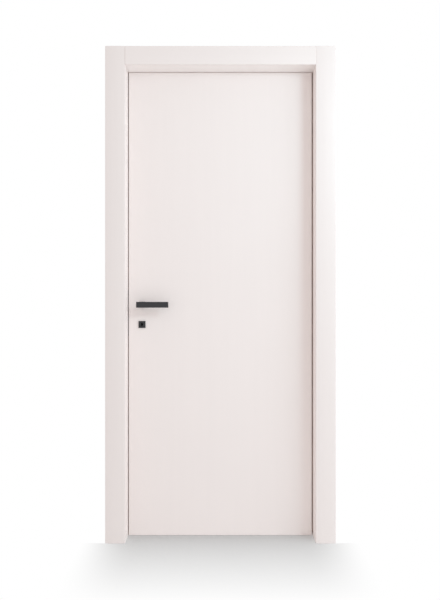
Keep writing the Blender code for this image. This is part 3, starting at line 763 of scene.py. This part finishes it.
# Lever set
def flat_lever():
    """The push side's lever: a flat bar on a round neck that flares into its back."""
    bar_back = LEVER_LOW.y + BAR_THICKNESS
    low_corner = LEVER_LOW - Vector((BAR_PAST_END, 0.0, BAR_PAST_UNDER))
    lever = box("front_flat_lever", low_corner, (LEVER_HIGH.x, bar_back, LEVER_HIGH.z))
    soften(lever, BAR_EASE, BAR_EASE_STEPS, lambda edge: True)
    shut(lever)
    neck_end = LEVER_HIGH.y
    neck_length = neck_end - bar_back
    rings = [(NECK_RADIUS - NECK_CHAMFER, 0.0), (NECK_RADIUS, NECK_CHAMFER)]
    for i in range(FLARE_STEPS + 1):
        turn = math.pi / 2 * i / FLARE_STEPS
        rings.append((
            NECK_RADIUS + NECK_FLARE * (1 - math.cos(turn)),
            neck_length - NECK_FLARE + NECK_FLARE * math.sin(turn),
        ))
    rings.append((NECK_RADIUS + NECK_FLARE, neck_length + BAR_THICKNESS / 2))
    foot = Vector((SPINDLE_X, neck_end, SPINDLE_Z))
    unite(lever, turned("lever_neck", foot, -AHEAD, rings, NECK_SIDES), "UNION")
    half = SOCKET_SIDE / 2
    socket = shut(box(
        "spindle_socket",
        (SPINDLE_X - half, neck_end - SOCKET_DEPTH, SPINDLE_Z - half),
        (SPINDLE_X + half, neck_end + CUT_OVER, SPINDLE_Z + half),
    ))
    unite(lever, socket, "DIFFERENCE")
    under = Vector((SPINDLE_X, neck_end - GRUB_INSET, SPINDLE_Z - NECK_RADIUS - CUT_OVER))
    bore = [(GRUB_HOLE, 0.0), (GRUB_HOLE, CUT_OVER + GRUB_HOLE_DEPTH)]
    unite(lever, turned("grub_screw_hole", under, UP, bore, GRUB_SIDES), "DIFFERENCE")
    return settled(lever)


def grub_screw():
    """The set screw under the neck, with its hexagon socket."""
    start = Vector((SPINDLE_X, LEVER_HIGH.y - GRUB_INSET, SPINDLE_Z - NECK_RADIUS + GRUB_SUNK))
    rings = [
        (GRUB_RADIUS - GRUB_CHAMFER, 0.0),
        (GRUB_RADIUS, GRUB_CHAMFER),
        (GRUB_RADIUS, GRUB_LENGTH),
    ]
    screw = turned("front_grub_screw", start, UP, rings, GRUB_SIDES)
    key_way = [(HEXAGON_RADIUS, 0.0), (HEXAGON_RADIUS, CUT_OVER + HEXAGON_DEPTH)]
    hexagon = turned("hexagon_socket", start - UP * CUT_OVER, UP, key_way, 6)
    return settled(unite(screw, hexagon, "DIFFERENCE"))


def square_plate(name, low, high):
    """A square plate with its outer rim rounded."""
    plate = box(name, low, high)
    soften(
        plate, PLATE_EASE, PLATE_EASE_STEPS,
        lambda edge: all(near(v.co.y, low.y) for v in edge.verts),
    )
    soften(
        plate, PLATE_EASE, PLATE_EASE_STEPS,
        lambda edge: abs(edge.verts[0].co.y - edge.verts[1].co.y) > PLATE_CORNER,
    )
    return shut(plate)


def spindle_rose():
    """The rose round the lever's neck, with a round hole for it."""
    rose = square_plate("front_square_rose", ROSE_LOW, ROSE_HIGH)
    start = Vector((SPINDLE_X, ROSE_LOW.y - CUT_OVER, SPINDLE_Z))
    bore = [(ROSE_HOLE, 0.0), (ROSE_HOLE, ROSE_HIGH.y - ROSE_LOW.y + 2 * CUT_OVER)]
    hole = turned("rose_hole", start, AHEAD, bore, ROSE_HOLE_SIDES)
    return settled(unite(rose, hole, "DIFFERENCE"))


def keyhole_solid(name, low_y, high_y, less=0.0):
    """A keyhole's outline as a solid: a circle over a straight slot."""
    radius = KEY_CIRCLE - less
    start = Vector((SPINDLE_X, low_y, KEY_Z + KEY_CIRCLE_RISE))
    rings = [(radius, 0.0), (radius, high_y - low_y)]
    solid = turned(name, start, AHEAD, rings, KEY_CIRCLE_SIDES)
    slot = shut(box(
        "keyhole_slot",
        (SPINDLE_X - KEY_SLOT / 2 + less, low_y, KEY_Z - KEY_SLOT_DROP + less),
        (SPINDLE_X + KEY_SLOT / 2 - less, high_y, KEY_Z + KEY_CIRCLE_RISE),
    ))
    return unite(solid, slot, "UNION")


def keyhole_plate():
    """The key plate, its keyhole a circle over a straight slot, with a fine chamfer."""
    plate = square_plate("front_keyhole_plate", KEY_PLATE_LOW, KEY_PLATE_HIGH)
    hole = keyhole_solid("keyhole", KEY_PLATE_LOW.y - CUT_OVER, KEY_PLATE_HIGH.y + CUT_OVER)
    unite(plate, hole, "DIFFERENCE")
    reopen(plate)

    def hole_rim(edge):
        ends = [v.co for v in edge.verts]
        on_face = all(near(v.y, KEY_PLATE_LOW.y) for v in ends)
        inside = all(
            abs(v.x - SPINDLE_X) < KEY_RIM_REACH and abs(v.z - KEY_Z) < KEY_RIM_REACH
            for v in ends
        )
        cut = any(abs(face.normal.y) < FACES_ACROSS for face in edge.link_faces)
        return on_face and inside and cut

    soften(plate, KEY_CHAMFER, KEY_CHAMFER_STEPS, hole_rim)
    return close(plate)


def keyhole_shade_sheet():
    """A black sheet that closes the keyhole at the back of the key plate: painted shade in the key
    way.
    """
    back = KEY_PLATE_HIGH.y - CURTAIN_PLAY
    curtain = keyhole_solid("front_key_curtain", back - CURTAIN, back, CURTAIN_PLAY)
    reopen(curtain)
    pick(curtain, "FACE", lambda face: face.normal.y < -FACES_ALONG)
    bpy.ops.mesh.inset(thickness=CURTAIN_RIM, depth=-CURTAIN_DISH, use_even_offset=False)
    return close(curtain)


# The pieces of the push side, then mirrored for the pull side, with the nodes they stand for
lever_pieces = (
    (flat_lever(), "lever_set", black_coat, "black_metal", ["lever"]),
    (grub_screw(), "lever_set", lock_steel, "lock_steel", []),
    (spindle_rose(), "leaf", black_coat, "black_metal", ["rose"]),
    (keyhole_plate(), "leaf", black_coat, "black_metal", ["key_plate"]),
    (keyhole_shade_sheet(), "leaf", shade_in_keyhole, "black_metal", []),
)
for front, body, finish, slot, nodes in lever_pieces:
    back = copied(front, front.name.replace("front", "back"), mirror_y=MIDDLE_Y)
    for side, piece in (("front", front), ("back", back)):
        dressed(piece, finish, body, slot, *(f"{side}_{node}" for node in nodes), lathe_axis=1)


# Lock plates with countersunk screws
def cross_screw(name, start, direction):
    """A countersunk screw, seen from its head: a shallow dome with a cross recess."""
    rings = [(SCREW_RADIUS * share, way) for share, way in SCREW_HEAD]
    head = turned(name, start, direction, rings, SCREW_SIDES)
    deep, out = start - direction * CROSS_DEPTH, start + direction * CROSS_OVER
    for long_way, short_way in ((AHEAD, UP), (UP, AHEAD)):
        reach = long_way * CROSS_REACH + short_way * CROSS_HALF
        low, high = corners([deep - reach, deep + reach, out - reach, out + reach])
        unite(head, shut(box("screw_recess", low, high)), "DIFFERENCE")
    return settled(head)


for node_name, name, body, outwards in (
    ("lock_face_plate", "rounded_face_plate", "leaf", -1),
    ("strike_plate", "rounded_strike_plate", "frame", 1),
):
    low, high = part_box(node_name)
    surface = low.x if outwards < 0 else high.x
    plate = eased_copy(node_name, name, PLATE_ARRIS)
    out = RIGHT * outwards
    for end, screw_z in (("top", high.z - SCREW_INSET), ("bottom", low.z + SCREW_INSET)):
        seat = Vector((surface, (low.y + high.y) / 2, screw_z))
        rings = [(SINK_TIP, 0.0), (SINK_RADIUS, SINK_CONE), (SINK_RADIUS, SINK_DEPTH + CUT_OVER)]
        sink = turned("countersink", seat - out * SINK_DEPTH, out, rings, SCREW_SIDES)
        unite(plate, sink, "DIFFERENCE")
        screw = cross_screw(f"{name}_{end}_screw", seat - out * SCREW_SUNK, out)
        dressed(screw, lock_steel, body, "lock_steel")
    dressed(settled(plate), lock_steel, body, "lock_steel", node_name)


# Barrel hinges: one pair modelled, the others copied
def hinge_half(name, rings, stud_side, stud_way, axis):
    """A turned barrel half with its stud screwed into the wood."""
    barrel = turned(name, axis, UP, rings, BARREL_SIDES)
    middle = axis + UP * (stud_side * BARREL_HALF / 2)
    root = middle + stud_way * (PIN_RADIUS + BARREL_RADIUS) / 2
    length = STUD_LENGTH - PIN_RADIUS - STUD_SHORT
    stud_rings = [(STUD_RADIUS, 0.0), (STUD_RADIUS, length - STUD_TAPER), (STUD_TIP, length)]
    stud = turned("hinge_stud", root, stud_way, stud_rings, STUD_SIDES)
    return settled(unite(barrel, stud, "UNION"))


def domed_end(distance, way):
    """Rings of a barrel's rounded end, from its side to its middle."""
    rings = []
    for i in range(DOME_STEPS + 1):
        turn = math.pi / 2 * i / DOME_STEPS
        radius = BARREL_RADIUS - BARREL_DOME * (1 - math.cos(turn))
        rings.append((radius, distance - way * BARREL_DOME * (1 - math.sin(turn))))
    return rings


frame_half, leaf_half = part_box("hinge_1_frame_half"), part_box("hinge_1_leaf_half")
hinge_axis = Vector((
    frame_half[1].x - BARREL_RADIUS,
    frame_half[1].y - BARREL_RADIUS,
    leaf_half[1].z - BARREL_HALF,
))
frame_rings = (
    *reversed(domed_end(-BARREL_HALF, -1)),
    (BARREL_RADIUS, -BARREL_CHAMFER),
    (BARREL_RADIUS - BARREL_CHAMFER, 0.0),
    (PIN_RADIUS, 0.0),
    (PIN_RADIUS, PIN_LENGTH - PIN_CHAMFER),
    (PIN_RADIUS - PIN_CHAMFER, PIN_LENGTH),
)
leaf_rings = (
    (PIN_BORE, PIN_LENGTH + BORE_PAST_PIN),
    (PIN_BORE, BARREL_JOINT),
    (BARREL_RADIUS - BARREL_CHAMFER, BARREL_JOINT),
    (BARREL_RADIUS, BARREL_JOINT + BARREL_CHAMFER),
    *domed_end(BARREL_HALF, 1),
)
leaf_stud_way = Vector((-math.sin(STUD_ANGLE), -math.cos(STUD_ANGLE), 0.0))
for half_name, rings, stud_side, stud_way, body in (
    ("frame_half", frame_rings, -1, -AHEAD, "frame"),
    ("leaf_half", leaf_rings, 1, leaf_stud_way, "leaf"),
):
    first = hinge_half(f"barrel_1_{half_name}", rings, stud_side, stud_way, hinge_axis)
    for number in (2, 3):
        node_name = f"hinge_{number}_{half_name}"
        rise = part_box(node_name)[0].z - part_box(f"hinge_1_{half_name}")[0].z
        again = copied(first, f"barrel_{number}_{half_name}", UP * rise)
        dressed(again, hinge_nickel, body, "hinge_metal", node_name, lathe_axis=2)
    dressed(first, hinge_nickel, body, "hinge_metal", f"hinge_1_{half_name}", lathe_axis=2)

# What stays as the frame has it
PLAIN = {"leaf_core": core_board, "lock_case": lock_steel, "spindle": lock_steel}
for node_name, finish in PLAIN.items():
    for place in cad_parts[node_name].material_slots:
        place.material = finish


# Floor: pale, with a painted shadow about the door's foot in what the camera and reflections see of
# it.
# That painted shadow fades away from the leaf's face and to both sides, and ends at the casings'
# faces.
FLOOR_SIZE = 40.0
FLOOR_PALE = (0.93, 0.925, 0.92)
# The painted shadow's darkest tone, by the door's foot
FLOOR_PAINTED_SHADOW = (0.37, 0.365, 0.36)
FLOOR_FAR = (1.0, 1.0, 1.0)
PAINTED_SHADOW_SHARE = 0.6
FOOT_START = 0.03
FOOT_REACH = 0.60
FOOT_CURVE = 0.55
FOOT_SIDE_START = 0.36
FOOT_SIDE_END = 0.62
BESIDE_START = 0.42
BESIDE_END = 0.50
BEHIND_START = -0.03
BEHIND_END = 0.01

choose()
bpy.ops.mesh.primitive_plane_add(size=FLOOR_SIZE, location=(0.0, 0.0, 0.0))
floor = bpy.context.object
floor.name = "floor"
pale = Finish("pale_floor", FLOOR_PALE, roughness=0.7, Specular_IOR_Level=0.2)
x, y = pale.parts(pale.place)[:2]
side = abs(x - MIDDLE_X)
ahead = pale.between(abs(y - LEAF_FACE), FOOT_START, FOOT_START + FOOT_REACH) ** FOOT_CURVE
across = pale.between(side, FOOT_SIDE_START, FOOT_SIDE_END, kind="SMOOTHSTEP")
fade = 1 - (1 - ahead) * (1 - across)
behind = pale.between(y, CASING_FACE + BEHIND_START, CASING_FACE + BEHIND_END)
away = fade.sum("MAXIMUM", fade, pale.between(side, BESIDE_START, BESIDE_END) * behind)
# Painted shadow: for camera and glossy rays the floor is mixed with a dark tone near the door's
# foot, fading to white
tone = pale.mix(away, FLOOR_PAINTED_SHADOW, FLOOR_FAR)
backdrop_and_shadow = pale.node("ShaderNodeEmission", {}, {"Color": tone, "Strength": 1.0})
shaded = Wire(pale, pale.shader.outputs[0])
share = (PAINTED_SHADOW_SHARE + away * (1 - PAINTED_SHADOW_SHARE)) * (pale.ray("Camera") + pale.ray("Glossy"))
look = pale.node("ShaderNodeMixShader", {}, {0: share, 1: shaded, 2: backdrop_and_shadow})
pale.give(pale.nodes["Material Output"], "Surface", look)
floor.data.materials.append(pale.material)


# Light: an even surround, a soft key from the upper right and a broad lamp from the right.
# Lamp places are measured from the floor under the middle of the casings' faces.
WORLD_LEVEL = (0.785, 0.755, 0.751)
KEY_LEVEL = (5.97, 8.00, 8.70)
KEY_PLACE = (1.25, -1.4, 2.2)
KEY_SIZE = 0.45
SIDE_LEVEL = (20.6, 23.3, 24.9)
SIDE_PLACE = (2.8, -1.2, 1.5)
SIDE_SIZE = 2.5
AIM_HEIGHT = 1.2

studio = bpy.data.worlds.new("studio")
bpy.context.scene.world = studio
sky = Tree(studio)
sky.nodes.remove(sky.nodes["Background"])
lit = sky.node("ShaderNodeBackground", {}, {"Color": (*WORLD_LEVEL, 1.0)})
shown = sky.node("ShaderNodeBackground", {}, {"Color": (1.0, 1.0, 1.0, 1.0)})
seen = sky.ray("Camera") + sky.ray("Glossy") + sky.ray("Transmission")
blend = sky.node("ShaderNodeMixShader", {}, {0: seen, 1: lit, 2: shown})
sky.give(sky.nodes["World Output"], "Surface", blend)


def soft_lamp(name, place, size, level):
    """A square soft lamp of a plain colour and power, aimed at the middle of the door."""
    lamp = bpy.data.lights.new(name, "AREA")
    lamp.shape = "SQUARE"
    lamp.size = size
    lamp.energy = max(level)
    lamp.color = [part / max(level) for part in level]
    held = bpy.data.objects.new(name, lamp)
    bpy.context.scene.collection.objects.link(held)
    foot = Vector((MIDDLE_X, CASING_FACE, 0.0))
    held.location = foot + Vector(place)
    aim = UP * AIM_HEIGHT - Vector(place)
    held.rotation_euler = aim.to_track_quat("-Z", "Y").to_euler()


soft_lamp("key", KEY_PLACE, KEY_SIZE, KEY_LEVEL)
soft_lamp("right_side", SIDE_PLACE, SIDE_SIZE, SIDE_LEVEL)


# View: level and square on, as the photograph
VIEW_DISTANCE = 2.704
VIEW_HEIGHT = 1.0658
VIEW_SIDE = -0.002
SEEN_HEIGHT = 2.6236

lens = bpy.data.cameras.new("view")
lens.sensor_fit = "VERTICAL"
lens.sensor_height = 24.0
lens.lens = lens.sensor_height * VIEW_DISTANCE / SEEN_HEIGHT
lens.clip_start = 0.05
lens.clip_end = 100.0
viewer = bpy.data.objects.new("view", lens)
bpy.context.scene.collection.objects.link(viewer)
viewer.location = (MIDDLE_X + VIEW_SIDE, CASING_FACE - VIEW_DISTANCE, VIEW_HEIGHT)
viewer.rotation_euler = (math.pi / 2, 0.0, 0.0)
bpy.context.scene.camera = viewer
bpy.context.scene.view_settings.view_transform = "Standard"
